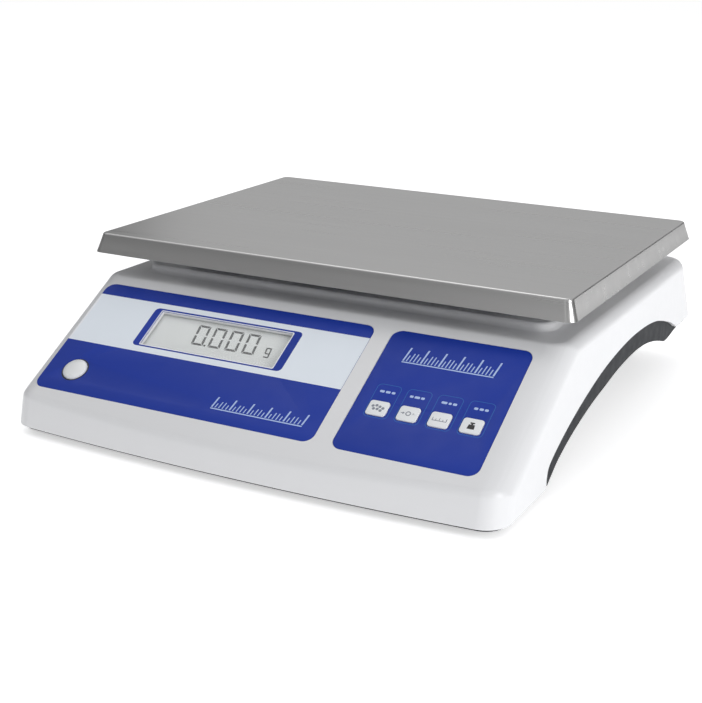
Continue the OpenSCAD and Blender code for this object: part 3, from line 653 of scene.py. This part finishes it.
x = key_x(0)
key_ink("icon_count", [circle(x + dx, KEY_S + dy, 0.85, 24) for dx, dy in
        ((-3.0, 0.9), (-1.0, 1.5), (1.0, 0.9), (3.0, 0.2), (-2.0, -0.9), (0.1, -0.8), (2.1, -1.5))], "count_key")
x = key_x(1)
key_ink("icon_tare", [circle(x, KEY_S, 1.5, 36), circle(x, KEY_S, 0.95, 36),
        [(x - 1.9, KEY_S), (x - 3.1, KEY_S + 0.8), (x - 3.1, KEY_S - 0.8)], rect(x - 4.2, x - 3.1, KEY_S - 0.22, KEY_S + 0.22),
        [(x + 1.9, KEY_S), (x + 3.1, KEY_S - 0.8), (x + 3.1, KEY_S + 0.8)], rect(x + 3.1, x + 4.2, KEY_S - 0.22, KEY_S + 0.22)], "tare_key")
x = key_x(2)
key_ink("icon_unit", [rect(x - 4.0, x + 4.0, KEY_S - 1.1, KEY_S - 0.7)] + [rect(x - 4.0 + 1.92 * j, x - 3.68 + 1.92 * j, KEY_S - 0.7, KEY_S + (1.1 if j % 2 == 0 else 0.3))
        for j in range(5)], "unit_key")
x = key_x(3)
key_ink("icon_weight", [[(x - 2.0, KEY_S - 2.2), (x + 2.0, KEY_S - 2.2), (x + 1.65, KEY_S + 0.7), (x - 1.65, KEY_S + 0.7)],
        [(x - 0.5, KEY_S + 0.7), (x + 0.5, KEY_S + 0.7), (x + 0.5, KEY_S + 1.3), (x - 0.5, KEY_S + 1.3)],
        rrect(2.6, 0.9, 0.4, x, KEY_S + 1.75, 5)], "calibrate_key", "black_ink_and_gap_shade")

# ------------------------------------------------------------------ power button
def lathe(prof, at, n=96):
    loops = [[(at[0] + r * cos(2 * pi * i / n), at[1] + r * sin(2 * pi * i / n), z) for i in range(n)] for r, z in prof]
    return loft(loops, "lathe")
prof = [(0.4, -8.95), (2.2, -8.95), (2.5, -8.7), (2.5, -4.1), (8.6, -4.1), (8.8, -3.9), (8.8, -3.1), (8.6, -2.9), (BTN_R, -2.9), (BTN_R, 0.0)]
prof += [(BTN_R * cos(rad(a)) ** 0.9, 0.15 + 2.2 * sin(rad(a))) for a in range(6, 90, 6)]
prof += [(0.35, 2.37)]
ob = console(lathe(prof, BTN))
smooth(ob, 40, weight=False)
ob.name = "power_button_cap"
give(ob, "button", "power_button", "button_white", "power_button")

# ------------------------------------------------------------------ display digits
LEAN = -0.13
def seg_digit(x0, s0, w, h, th, segs):
    g = 0.32
    m = h / 2
    P = {
        "a": [(g, h), (w - g, h), (w - th - g * 0.6, h - th), (th + g * 0.6, h - th)],
        "d": [(g, 0), (w - g, 0), (w - th - g * 0.6, th), (th + g * 0.6, th)],
        "f": [(0, h - g), (th, h - th - g), (th, m + g + th * 0.35), (0, m + g)],
        "e": [(0, g), (th, th + g), (th, m - g - th * 0.35), (0, m - g)],
        "b": [(w, h - g), (w - th, h - th - g), (w - th, m + g + th * 0.35), (w, m + g)],
        "c": [(w, g), (w - th, th + g), (w - th, m - g - th * 0.35), (w, m - g)],
        "g": [(g, m), (th, m + th / 2), (w - th, m + th / 2), (w - g, m), (w - th, m - th / 2), (th, m - th / 2)],
    }
    return [[(x0 + px + LEAN * (py - h / 2), s0 + py) for px, py in P[s]] for s in segs]

loops = []
for j in range(4):
    loops += seg_digit(-65.8 + 11.3 * j, 52.9, 8.1, 15.2, 1.5, "abcdef")
loops.append([(-56.3, 52.9), (-55.0, 52.9), (-55.15, 54.2), (-56.45, 54.2)])
# small unit mark
gx, gs = -17.0, 52.7
loops += [[(px + LEAN * (py - gs - 4), py) for px, py in lp] for lp in (
    rect(gx, gx + 0.95, gs + 3.3, gs + 6.6), rect(gx, gx + 3.6, gs + 6.6, gs + 7.5), rect(gx + 0.95, gx + 2.7, gs + 2.6, gs + 3.5),
    rect(gx + 2.7, gx + 3.6, gs + 0.8, gs + 6.6), rect(gx + 0.2, gx + 3.2, gs, gs + 0.85))]
ob = sheet("display_digits", loops, -3.71, -3.66)
give(ob, "black_ink_and_gap_shade", "housing", "black_plastic")

# ------------------------------------------------------------------ floor
me = bpy.data.meshes.new("floor")
me.from_pydata([(-9, -9, 0), (9, -9, 0), (9, 9, 0), (-9, 9, 0)], [], [(0, 1, 2, 3)])
floor = new_object("floor", me)
fm = mat("floor_white", (0.93, 0.93, 0.935), 0.6, vary=0.004, bump=0.02, bscale=200)
fm.node_tree.nodes["Principled BSDF"].inputs["Emission Color"].default_value = (1, 1, 1, 1)
fm.node_tree.nodes["Principled BSDF"].inputs["Emission Strength"].default_value = 0.55
fm.node_tree.nodes["Principled BSDF"].inputs["Specular IOR Level"].default_value = 0.2
floor.data.materials.append(fm)
